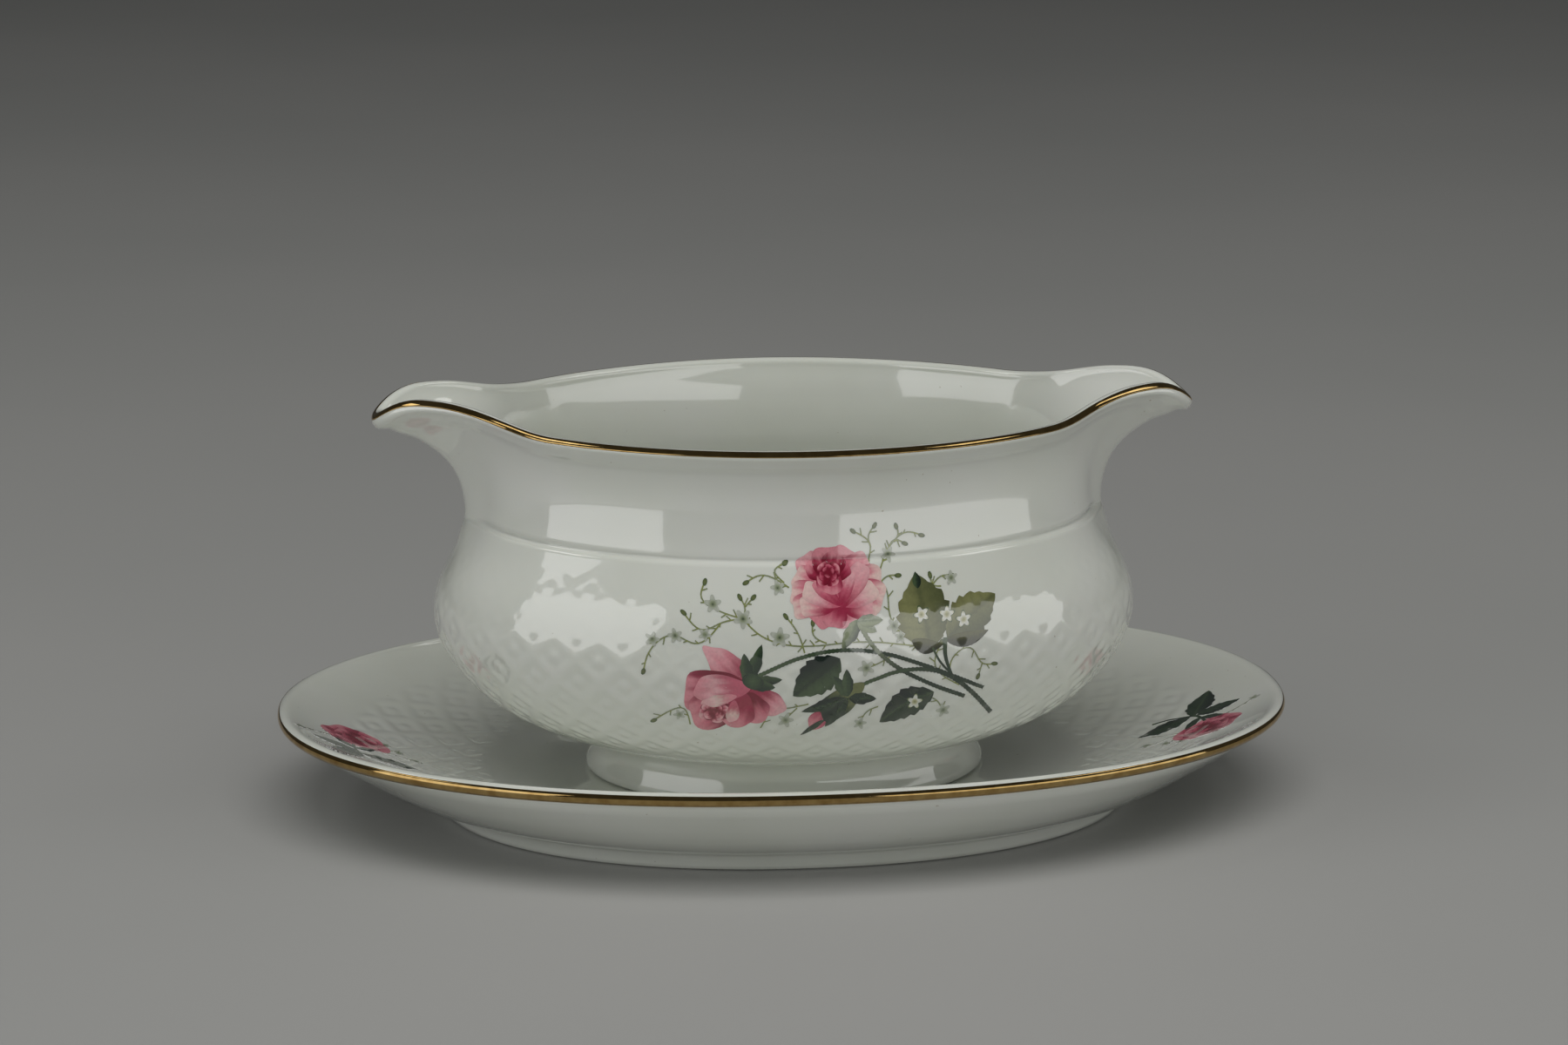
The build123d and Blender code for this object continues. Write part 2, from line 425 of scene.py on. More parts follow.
def skin(name, rings, lowest, highest):
    """A closed mesh from a middle point underneath, through the rings, to a middle point on top."""
    points = [np.array([lowest], float)] + list(rings) + [np.array([highest], float)]
    starts = np.concatenate([[0], np.cumsum([len(p) for p in points])])
    faces = []
    for index in range(1, len(rings)):
        faces += bridge(starts[index], len(points[index]), starts[index + 1], len(points[index + 1]))
    step, after = ring_steps(len(rings[0]))
    faces += np.stack([np.zeros_like(step), 1 + after, 1 + step], axis=1).tolist()
    step, after = ring_steps(len(rings[-1]))
    top = np.full_like(step, starts[-2])
    faces += np.stack([starts[-3] + step, starts[-3] + after, top], axis=1).tolist()
    return new_mesh(name, np.concatenate(points), faces)


def band(name, rows):
    """A closed band from rows of points that go once round its cross-section."""
    rows = np.array(rows)
    count, columns = rows.shape[:2]
    faces = []
    for index in range(count):
        faces += bridge(index * columns, columns, (index + 1) % count * columns, columns)
    return new_mesh(name, rows.reshape(-1, 3), faces)


def boat_body():
    turns = even_turns(*BOAT_SPACING_OVAL, COLUMNS)
    half = turns[::2]
    side = through(BOAT_SIDE, BOAT_ROWS)
    along = lengths_along(side)
    dome_at = np.interp(BELLY_DOME_HEIGHT, side[:, 2], along)
    rows = np.array([oval(*section, turns) for section in side])
    keel = keel_share(turns) * np.sign(np.cos(turns))
    rise = KEEL_TOP_RISE * smoothstep(KEEL_START_HEIGHT, SHOULDER_HEIGHT, side[:, 2])
    rows[:, :, 0] += rise[:, None] * keel[None, :]
    height = side[:, 2]
    faint = FAINTEST + (1 - FAINTEST) * (1 - smoothstep(*BELLY_PATTERN_FAINT, height))
    fade = smoothstep(*BELLY_PATTERN_IN, height) * faint * (1 - smoothstep(*BELLY_PATTERN_OUT, height))
    moulded = moulded_rows(rows, along - dome_at, BELLY_DIAMOND, RELIEF * fade)
    smooth_count = int(np.searchsorted(height, PLAIN_BELOW))

    rings = [oval(*section, half) for section in BOAT_UNDERSIDE]
    rings += [row[::2] for row in moulded[:smooth_count:2]]
    rings += list(moulded[smooth_count:])
    shoulder = rows[-1]
    mean_radius = (WAIST_HALF[0] + WAIST_HALF[1]) / 2
    for depth, lift in GROOVE:
        inset = GROOVE_DEPTH * depth * (1 - keel_share(turns)) / mean_radius
        scale = np.stack([1 - inset, 1 - inset, np.ones(COLUMNS)], axis=1)
        rings.append(shoulder * scale + [0, 0, lift])
    rings += [collared_neck(turns, share) for share in np.linspace(0.07, 0.965, 24)]
    rings += [bead_row(turns, degrees) for degrees in np.linspace(-10, 202, 15)]
    inner_rise = bead_frame(half)[3]
    inside = []
    for share in (0.95, 0.86, 0.72, 0.55, 0.38, 0.2):
        point, normal, _, _ = neck_frame(half, share * inner_rise)
        inside.append(point - normal * (WALL - RIM_THINNING * share))
    belly = np.array(BOAT_SIDE[BELLY_START:-1])
    before = np.array(BOAT_SIDE[BELLY_START - 1:-2])
    after = np.array(BOAT_SIDE[BELLY_START + 1:])
    run, climb = after[:, 0] - before[:, 0], after[:, 2] - before[:, 2]
    size = np.hypot(run, climb)
    inset = belly - np.stack([WALL * climb / size, WALL * climb / size, -WALL * run / size], axis=1)
    inside += [oval(*section, half) for section in inset[::-1]]
    inside += [oval(*section, half) for section in BOAT_FLOOR]
    rings += list(through(inside, BOAT_INSIDE_ROWS))
    return skin("boat_porcelain", rings, (0, 0, FOOT_RECESS_TOP), (0, 0, FLOOR_HEIGHT))


def boat_gold():
    turns = even_turns(*BOAT_SPACING_OVAL, COLUMNS)
    lower = (GOLD_LOWER[0] + GOLD_LOWER[1] * lip_share(turns))[:, None]
    upper = (GOLD_UPPER[0] + GOLD_UPPER[1] * lip_share(turns))[:, None]
    angles = [lower + (upper - lower) * share for share in np.linspace(0, 1, 8)]
    rows = [bead_row(turns, angle, GOLD_PROUD) for angle in angles]
    rows += [bead_row(turns, angle, -GOLD_SUNK) for angle in angles[::-1]]
    return band("boat_rim_gold", rows)


def plate_rim_row(turns, inset, drop, proud=0.0):
    half_length = PLATE_HALF_LENGTH - inset + proud
    half_width = PLATE_HALF_WIDTH - inset + proud
    return oval(half_length, half_width, PLATE_RIM_TOP - drop, turns, PLATE_SQUARENESS)


def plate_body():
    turns = even_turns(*PLATE_SPACING_OVAL, COLUMNS)
    half = turns[::2]
    above = through(PLATE_ABOVE, PLATE_ROWS)
    reach = above[:, 0]
    along = lengths_along(above)
    dome_at = np.interp(-PLATE_DOME_REACH, -reach, along)
    rows = np.array([oval(*section, turns, PLATE_SQUARENESS) for section in above])
    fade = smoothstep(*PLATE_PATTERN_IN, reach) * (1 - smoothstep(*PLATE_PATTERN_OUT, reach))
    moulded = moulded_rows(rows, along - dome_at, PLATE_DIAMOND, PLATE_RELIEF * fade)
    fine_from, fine_to = PLATE_FINE_ROWS
    fine = (reach > fine_from) & (reach < fine_to)

    rings = [oval(*section, half, PLATE_SQUARENESS) for section in PLATE_BELOW]
    rings += [plate_rim_row(half, *edge) for edge in PLATE_RIM]
    coarse_before = [row[::2] for row in moulded[reach >= fine_to][::2]]
    coarse_after = [row[::2] for row in moulded[reach <= fine_from][::4]]
    rings += coarse_before + list(moulded[fine]) + coarse_after
    return skin("underplate_porcelain", rings, (0, 0, PLATE_FLOOR_UNDERSIDE), (0, 0, WELL_HEIGHT))


def plate_gold():
    turns = even_turns(*PLATE_SPACING_OVAL, COLUMNS)
    edge = through(PLATE_RIM[:GILT_POINTS], 0.3)
    rows = [plate_rim_row(turns, inset, drop, GOLD_PROUD) for inset, drop in edge]
    rows += [plate_rim_row(turns, inset, drop, -GOLD_SUNK) for inset, drop in edge[::-1]]
    return band("underplate_rim_gold", rows)


# Materials

def new_material(name):
    material = bpy.data.materials.new(name)
    material.use_nodes = True
    tree = material.node_tree
    return material, tree, tree.nodes["Principled BSDF"]


def noise(tree, scale, detail=3.0):
    """Noise in the piece's own coordinates, with its scale as features per metre."""
    place = tree.nodes.new("ShaderNodeTexCoord")
    texture = tree.nodes.new("ShaderNodeTexNoise")
    texture.inputs["Scale"].default_value = scale
    texture.inputs["Detail"].default_value = detail
    tree.links.new(place.outputs["Object"], texture.inputs["Vector"])
    return texture.outputs["Fac"]


def ramp(tree, value, stops):
    """A colour ramp over (place, colour) stops."""
    node = tree.nodes.new("ShaderNodeValToRGB")
    while len(node.color_ramp.elements) < len(stops):
        node.color_ramp.elements.new(0.5)
    for element, (place, colour) in zip(node.color_ramp.elements, stops):
        element.position = place
        element.color = (*colour, 1.0)
    tree.links.new(value, node.inputs["Fac"])
    return node.outputs["Color"]


def spread(tree, value, low, high):
    """Maps noise, which mostly lies from 0.3 to 0.7, to a range."""
    node = tree.nodes.new("ShaderNodeMapRange")
    node.inputs["From Min"].default_value = 0.3
    node.inputs["From Max"].default_value = 0.7
    node.inputs["To Min"].default_value = low
    node.inputs["To Max"].default_value = high
    tree.links.new(value, node.inputs["Value"])
    return node.outputs["Result"]


def bumps(tree, layers):
    """Stacked bumps from (height value, depth in mm) layers."""
    normal = None
    for value, depth in layers:
        node = tree.nodes.new("ShaderNodeBump")
        node.inputs["Strength"].default_value = 1.0
        node.inputs["Distance"].default_value = depth * MM
        tree.links.new(value, node.inputs["Height"])
        if normal is not None:
            tree.links.new(normal, node.inputs["Normal"])
        normal = node.outputs["Normal"]
    return normal


def multiplied(tree, first, second, share):
    """One colour darkened by another, by a share from 0 to 1."""
    mix = tree.nodes.new("ShaderNodeMix")
    mix.data_type = "RGBA"
    mix.blend_type = "MULTIPLY"
    mix.inputs["Factor"].default_value = share
    tree.links.new(first, mix.inputs["A"])
    tree.links.new(second, mix.inputs["B"])
    return mix.outputs["Result"]


def glaze(tree, shader):
    """The clear glaze that porcelain and print share: gloss, slow ripples and a fine peel."""
    shader.inputs["IOR"].default_value = 1.6
    shader.inputs["Coat Weight"].default_value = 1.0
    shader.inputs["Coat Roughness"].default_value = 0.02
    shader.inputs["Coat IOR"].default_value = 1.6
    roughness = spread(tree, noise(tree, 160), 0.07, 0.13)
    tree.links.new(roughness, shader.inputs["Roughness"])
    ripple = noise(tree, 60, 1.0)
    peel = noise(tree, 700, 2.0)
    tree.links.new(bumps(tree, [(ripple, 0.05), (peel, 0.0016)]), shader.inputs["Normal"])


def porcelain_material():
    material, tree, shader = new_material("glazed_porcelain")
    body = ramp(tree, noise(tree, 26), [
        (0.3, (0.730, 0.755, 0.685)),
        (0.5, (0.765, 0.790, 0.725)),
        (0.7, (0.785, 0.800, 0.755)),
    ])
    specks = ramp(tree, noise(tree, 900, 1.0), [
        (0.0, (1, 1, 1)),
        (0.79, (1, 1, 1)),
        (0.83, (0.55, 0.5, 0.42)),
    ])
    tree.links.new(multiplied(tree, body, specks, 0.8), shader.inputs["Base Color"])
    shader.inputs["Subsurface Weight"].default_value = 0.12
    shader.inputs["Subsurface Radius"].default_value = (1.0, 0.85, 0.7)
    shader.inputs["Subsurface Scale"].default_value = 1.5 * MM
    glaze(tree, shader)
    return material


def gold_material():
    material, tree, shader = new_material("fired_gold")
    shader.inputs["Metallic"].default_value = 1.0
    # Base colour of the gold, kept dark so that it stands in for the reflection of a dark room: a painted
    # dark reflection. The noise varies its tone at random.
    tone_and_painted_reflection = ramp(tree, noise(tree, 420, 4.0), [
        (0.25, (0.34, 0.21, 0.07)),
        (0.50, (0.46, 0.31, 0.12)),
        (0.75, (0.54, 0.38, 0.16)),
    ])
    tree.links.new(tone_and_painted_reflection, shader.inputs["Base Color"])
    tree.links.new(spread(tree, noise(tree, 900), 0.03, 0.09), shader.inputs["Roughness"])
    brushed = noise(tree, 1600, 2.0)
    tree.links.new(bumps(tree, [(brushed, 0.0008)]), shader.inputs["Normal"])
    return material


def print_material():
    """Ceramic ink under the glaze: the colour painted on the piece, with a fine grain."""
    material, tree, shader = new_material("printed_ink")
    painted = tree.nodes.new("ShaderNodeVertexColor")
    painted.layer_name = "ink"
    grain = ramp(tree, noise(tree, 1500, 3.0), [
        (0.3, (0.86, 0.86, 0.86)),
        (0.7, (1.0, 1.0, 1.0)),
    ])
    tree.links.new(multiplied(tree, painted.outputs["Color"], grain, 1.0), shader.inputs["Base Color"])
    glaze(tree, shader)
    return material


# Printed roses. Shapes are drawn flat, in millimetres, then laid on the glaze

def ink(red, green, blue):
    """Linear colour of an ink given in 0 to 255 screen levels."""
    level = np.array([red, green, blue]) / 255
    return np.where(level <= 0.04045, level / 12.92, ((level + 0.055) / 1.055) ** 2.4)


CRIMSON = ink(132, 22, 48)
WINE = ink(168, 48, 78)
ROSE = ink(208, 102, 124)
PINK = ink(228, 146, 158)
BLUSH = ink(240, 182, 188)
CREAM = ink(243, 212, 205)
NIGHT_GREEN = ink(26, 40, 34)
DARK_GREEN = ink(44, 62, 46)
GREEN = ink(78, 98, 66)
OLIVE = ink(120, 126, 80)
SAGE = ink(150, 160, 128)
STRAW = ink(190, 188, 142)
ASH = ink(184, 190, 176)
MIST = ink(200, 204, 192)
FADED_DARK = ink(92, 98, 62)
FADED = ink(138, 140, 92)
FADED_VEIN = ink(74, 82, 54)
MOSS_DARK = ink(44, 48, 26)
MOSS = ink(96, 98, 48)
TWIG = ink(150, 158, 92)
WHITE = ink(228, 230, 222)

PRINT_GRAIN = 0.5
CREASE_GRAIN = 0.08
PRINT_LIFT = 0.07
PRINT_DEPTH = 0.12


def turned_axes(degrees):
    """Rows of a matrix that turns points, written as rows, by an angle."""
    angle = math.radians(degrees)
    return np.array([[math.cos(angle), math.sin(angle)], [-math.sin(angle), math.cos(angle)]])


class Shape:
    """A closed outline and the ink that fills it: paint gives the colour at an array of points."""

    def __init__(self, group, outline, paint):
        x, y = outline[:, 0], outline[:, 1]
        area = np.sum(x * np.roll(y, -1) - y * np.roll(x, -1))
        self.group = group
        self.outline = outline if area > 0 else outline[::-1]
        self.paint = paint

    def holds(self, points):
        """Which of the points lie inside the outline."""
        inside = np.zeros(len(points), bool)
        for (x1, y1), (x2, y2) in zip(self.outline, np.roll(self.outline, -1, axis=0)):
            if y1 == y2:
                continue
            crosses = (y1 > points[:, 1]) != (y2 > points[:, 1])
            inside ^= crosses & (points[:, 0] < (x2 - x1) * (points[:, 1] - y1) / (y2 - y1) + x1)
        return inside

    def placed(self, origin, turn):
        """The same shape turned by degrees and moved to an origin."""
        axes = turned_axes(turn)
        back = np.linalg.inv(axes)
        paint = self.paint
        return Shape(self.group, self.outline @ axes + origin, lambda points: paint((points - origin) @ back))


def mixed(inks, share):
    """The colour at a share from 0 to 1 along a row of inks."""
    steps = np.linspace(0, 1, len(inks))
    return np.stack([np.interp(share, steps, [tone[i] for tone in inks]) for i in range(3)], axis=-1)


def axes_of(base, tip):
    base, tip = np.array(base, float), np.array(tip, float)
    length = np.linalg.norm(tip - base)
    axis = (tip - base) / length
    return base, axis, np.array([-axis[1], axis[0]]), length


def petal(base, tip, width, inks, shown=0.3, wave=0.04, blunt=0.35, group="roses"):
    """A rounded petal. The inks run from where it shows, as a share of its length, out to its tip."""
    base, axis, side, length = axes_of(base, tip)
    turn = np.linspace(0, 2 * math.pi, 40, endpoint=False)
    along = length * (0.5 - 0.5 * np.cos(turn)) * (1 + wave * np.sin(4 * turn + base[0]))
    half = width / 2 * np.sin(turn) * (1 - blunt * np.cos(turn)) * (1 + wave * np.sin(5 * turn + tip[0]))
    outline = base + along[:, None] * axis + half[:, None] * side

    def paint(points):
        share = (points - base) @ axis / length
        across = (points - base) @ side / (width / 2)
        streak = 0.06 * np.sin(9 * across + 3 * share + tip[1]) + 0.03 * np.sin(21 * across - 5 * share)
        colour = mixed(inks, smoothstep(shown, 0.96, share + streak - 0.10 * across ** 2))
        return colour * (1 - 0.16 * smoothstep(0.55, 1.1, np.abs(across)))[:, None]

    return Shape(group, outline, paint)


def leaf(base, tip, width, inks, teeth=0, bend=0.0, group="leaves"):
    """A leaf with a midrib and side veins. The inks are its shaded half, its lit half and its veins."""
    base, axis, side, length = axes_of(base, tip)
    count = max(12, 4 * teeth)
    share = np.linspace(0, 1, count + 1)
    body = np.sin(math.pi * share ** 0.85) ** 0.85
    saw = 1 + 0.22 * ((share * teeth) % 1.0 - 0.35) if teeth else np.ones_like(share)
    half = width / 2 * body * saw
    middle = base + share[:, None] * length * axis + (bend * np.sin(math.pi * share))[:, None] * side
    left = middle + half[:, None] * side
    right = middle - half[:, None] * side
    outline = np.concatenate([left[:-1], right[:0:-1]])
    shaded, lit, vein = inks

    def paint(points):
        along = np.clip((points - base) @ axis / length, 0, 1)
        across = ((points - base) @ side - bend * np.sin(math.pi * along)) / (width / 2)
        tone = smoothstep(-0.75, 0.85, across + 0.25 * np.sin(4 * along + base[0]))
        colour = shaded + (lit - shaded) * tone[:, None]
        ribs = np.exp(-((across / 0.10) ** 2))
        branches = 0.4 * np.exp(-(((along * 6 - 0.9 * np.abs(across)) % 1.0 - 0.5) / 0.12) ** 2)
        lines = np.clip(ribs + branches, 0, 1) * 0.55
        colour = colour + (vein - colour) * lines[:, None]
        return colour * (1 - 0.25 * smoothstep(0.6, 1.0, np.abs(across)))[:, None]

    return Shape(group, outline, paint)


def strand(points, width, inks, group="stems", end_width=None, thorns=0.0):
    """A stem or twig along a smooth line, with inks from its start to its end."""
    line = through(points, 0.45 if thorns else 0.9)
    run = lengths_along(line)
    share = run / run[-1]
    heading = unit(np.gradient(line, run, axis=0))
    side = np.stack([-heading[:, 1], heading[:, 0]], axis=1)
    last = width if end_width is None else end_width
    half = (width + (last - width) * share)[:, None] / 2
    half = half * (1 + thorns * ((np.arange(len(line)) % 2)[:, None] - 0.5))
    outline = np.concatenate([line + side * half, (line - side * half)[::-1]])

    def paint(points):
        near = np.argmin(np.linalg.norm(points[:, None] - line[None], axis=2), axis=1)
        across = np.abs(np.sum((points - line[near]) * side[near], axis=1)) / (width / 2)
        return mixed(inks, share[near]) * (1.12 - 0.30 * smoothstep(0.2, 1.0, across))[:, None]

    return Shape(group, outline, paint)


def disc(centre, half_length, half_width, turn, inks, group="sprigs", lobes=0, count=16):
    """An oval bud, or a flower with round lobes, inked from its middle outwards."""
    centre = np.array(centre, float)
    angle = np.arange(count) / count * 2 * math.pi
    reach = 1.0 if not lobes else 0.76 + 0.24 * np.cos(lobes * angle)
    local = np.stack([half_length * reach * np.cos(angle), half_width * reach * np.sin(angle)], axis=1)
    outline = centre + local @ turned_axes(turn)

    def paint(points):
        return mixed(inks, np.linalg.norm(points - centre, axis=1) / max(half_length, half_width))

    return Shape(group, outline, paint)


def sprouts(points, spacing, length):
    """Short side shoots along a twig, leaving it on one side and then the other."""
    line = through(points, 0.3)
    run = lengths_along(line)
    shoots = []
    for index, place in enumerate(np.arange(0.7 * spacing, run[-1] - 0.3 * spacing, spacing)):
        at = int(np.searchsorted(run, place))
        heading = line[at] - line[at - 1]
        angle = math.atan2(heading[1], heading[0]) + math.pi + (0.9 if index % 2 else -0.9)
        reach = length * (1 + 0.35 * math.sin(5.1 * index + points[0][0]))
        tip = line[at] + reach * np.array([math.cos(angle), math.sin(angle)])
        middle = (line[at] + tip) / 2 + 0.12 * heading
        shoots.append(strand([line[at], middle, tip], 0.30, (TWIG, SAGE), "sprigs"))
    return shoots


def blossom(centre, radius, turn, inks, group="sprigs"):
    return disc(centre, radius, radius, turn, inks, group, lobes=5, count=40)


def rose(centre, heart, size, rings):
    """Rings of petals, largest first, whose middle moves from the flower's centre to its heart."""
    shapes = []
    centre, heart, size = np.array(centre, float), np.array(heart, float), np.array(size, float)
    for index, (count, reach, width, first, inks) in enumerate(rings):
        middle = centre + (heart - centre) * index / (len(rings) - 1)
        inner = rings[index + 1][1] / reach if index + 1 < len(rings) else 0.1
        for turn in range(count):
            angle = math.radians(first + 360 * turn / count)
            tip = middle + reach * size * [math.cos(angle), math.sin(angle)]
            base = middle - (tip - middle) * 0.12
            span = width * reach * size.mean()
            shapes.append(petal(base, tip, span, inks, shown=0.8 * inner, wave=0.05))
    return shapes


# Rings of petals as (count, reach, width as a share of the reach, angle of the first, inks)
ROSE_RINGS = [
    (5, 0.80, 1.00, 62, (CRIMSON, ROSE, BLUSH)),
    (5, 0.60, 0.95, 10, (CRIMSON, ROSE, BLUSH)),
    (4, 0.42, 1.00, 40, (CRIMSON, WINE, PINK)),
    (3, 0.27, 1.05, 85, (CRIMSON, CRIMSON, ROSE)),
    (2, 0.14, 1.10, 10, (CRIMSON, CRIMSON, WINE)),
]
SMALL_ROSE_RINGS = [
    (5, 1.00, 1.20, 20, (WINE, ROSE, PINK)),
    (4, 0.72, 1.15, 50, (CRIMSON, ROSE, PINK)),
    (3, 0.44, 1.15, 15, (CRIMSON, WINE, ROSE)),
    (2, 0.22, 1.20, 60, (CRIMSON, CRIMSON, WINE)),
]
LEAF_DARK = (NIGHT_GREEN, GREEN, NIGHT_GREEN)
LEAF_DEEP = (NIGHT_GREEN, DARK_GREEN, GREEN)
LEAF_PALE = (FADED_DARK, FADED, FADED_VEIN)
LEAF_FOLD = (MOSS_DARK, MOSS, MOSS_DARK)
STEM = (GREEN, DARK_GREEN, DARK_GREEN)
STEM_PALE = (SAGE, DARK_GREEN, DARK_GREEN)
SEPAL = (DARK_GREEN, GREEN, DARK_GREEN)
SEPAL_PALE = (SAGE, ASH, GREEN)
SMALL_FLOWER = (DARK_GREEN, SAGE, ASH, MIST, ASH)
WHITE_FLOWER = (OLIVE, STRAW, WHITE, WHITE, STRAW)


def main_rose():
    """The open rose from the front: loose outer petals, inner ones that lean together, and a tight cup."""
    middle = (4, 64)
    outer = [
        ((-3.5, 71.5), 6.0, BLUSH), ((2, 73.5), 7.0, PINK), ((7.5, 73), 6.6, PINK), ((12, 70.5), 6.6, BLUSH),
        ((15, 66.5), 6.6, CREAM), ((-5.5, 67.5), 5.6, CREAM), ((-6.5, 63.5), 5.4, CREAM),
        ((-1, 57), 6.0, PINK), ((4, 56), 6.4, PINK), ((9.5, 57), 6.2, BLUSH),
        ((-6, 60), 5.2, CREAM), ((15.5, 62.5), 6.2, CREAM), ((13.5, 58.5), 5.6, CREAM),
    ]
    shapes = [petal(middle, tip, width, (ROSE, PINK, edge), 0.45, wave=0.05) for tip, width, edge in outer]
    shapes += [
        petal((4.5, 62), (2, 57), 6.8, (WINE, ROSE, PINK), 0.3),
        petal((5, 61.5), (-4.5, 61), 4.6, (WINE, PINK, CREAM), 0.25),
        petal((5, 61), (12.5, 60), 5.2, (WINE, PINK, BLUSH), 0.25),
        petal((5.5, 61), (13.5, 64.5), 4.6, (ROSE, BLUSH, CREAM), 0.1),
        petal((5, 60.5), (11, 69.5), 4.6, (WINE, PINK, BLUSH), 0.0),
        petal((5, 61), (-3.5, 65), 4.4, (ROSE, BLUSH, CREAM), 0.05),
        petal((5, 61), (7.5, 68), 3.2, (WINE, ROSE, BLUSH), 0.0),
        petal((5, 61), (-1, 66.5), 3.0, (WINE, ROSE, PINK), 0.0),
        petal((3, 66.5), (-2, 70), 4.6, (CRIMSON, WINE, PINK), 0.3),
        petal((3, 66.5), (7, 70), 4.6, (CRIMSON, WINE, ROSE), 0.3),
        petal((2.5, 66.5), (1, 72), 5.0, (CRIMSON, WINE, PINK), 0.4),
        petal((3, 66.5), (4.5, 72), 5.0, (CRIMSON, WINE, PINK), 0.4),
        petal((3, 69), (2.5, 63.5), 5.8, (WINE, ROSE, PINK), 0.4),
    ]
    shapes += rose((2.5, 67.5), (2.5, 68), (3, 2.5), [
        (4, 1.00, 1.10, 35, (CRIMSON, WINE, PINK)),
        (3, 0.70, 1.15, 80, (CRIMSON, WINE, ROSE)),
        (3, 0.45, 1.10, 15, (CRIMSON, CRIMSON, ROSE)),
    ])
    return shapes


def side_rose():
    """The rose seen from its side, hanging from its calyx."""
    shapes = [
        petal((-16, 42.5), (-25.5, 52.5), 7.4, (WINE, PINK, BLUSH), 0.15, blunt=-0.45),
        petal((-14.5, 42), (-30.5, 41.5), 10.5, (CRIMSON, WINE, PINK), 0.5),
        petal((-15, 43), (-28.5, 35), 9.6, (CRIMSON, ROSE, PINK), 0.5),
        petal((-15.5, 42.5), (-8, 37), 5.6, (WINE, PINK, BLUSH), 0.25, blunt=0.1),
        petal((-16.5, 42), (-13.5, 34.5), 6.8, (CRIMSON, ROSE, PINK), 0.3),
        petal((-17, 42), (-19.5, 33.5), 8.0, (WINE, ROSE, PINK), 0.4),
        petal((-15.5, 43), (-28, 42.5), 6.4, (ROSE, BLUSH, PINK), 0.3),
    ]
    shapes += rose((-23, 37.5), (-24, 37), (5, 4), ROSE_RINGS)
    shapes += [
        petal((-18.5, 41), (-25.5, 39), 2.6, (PINK, CREAM, BLUSH), 0.2),
        petal((-19, 40), (-19.5, 34.5), 2.8, (ROSE, CREAM, BLUSH), 0.3),
    ]
    return shapes


def sepals(base, tips, inks, width, teeth=3):
    return [leaf(base, tip, width, inks, teeth) for tip in tips]


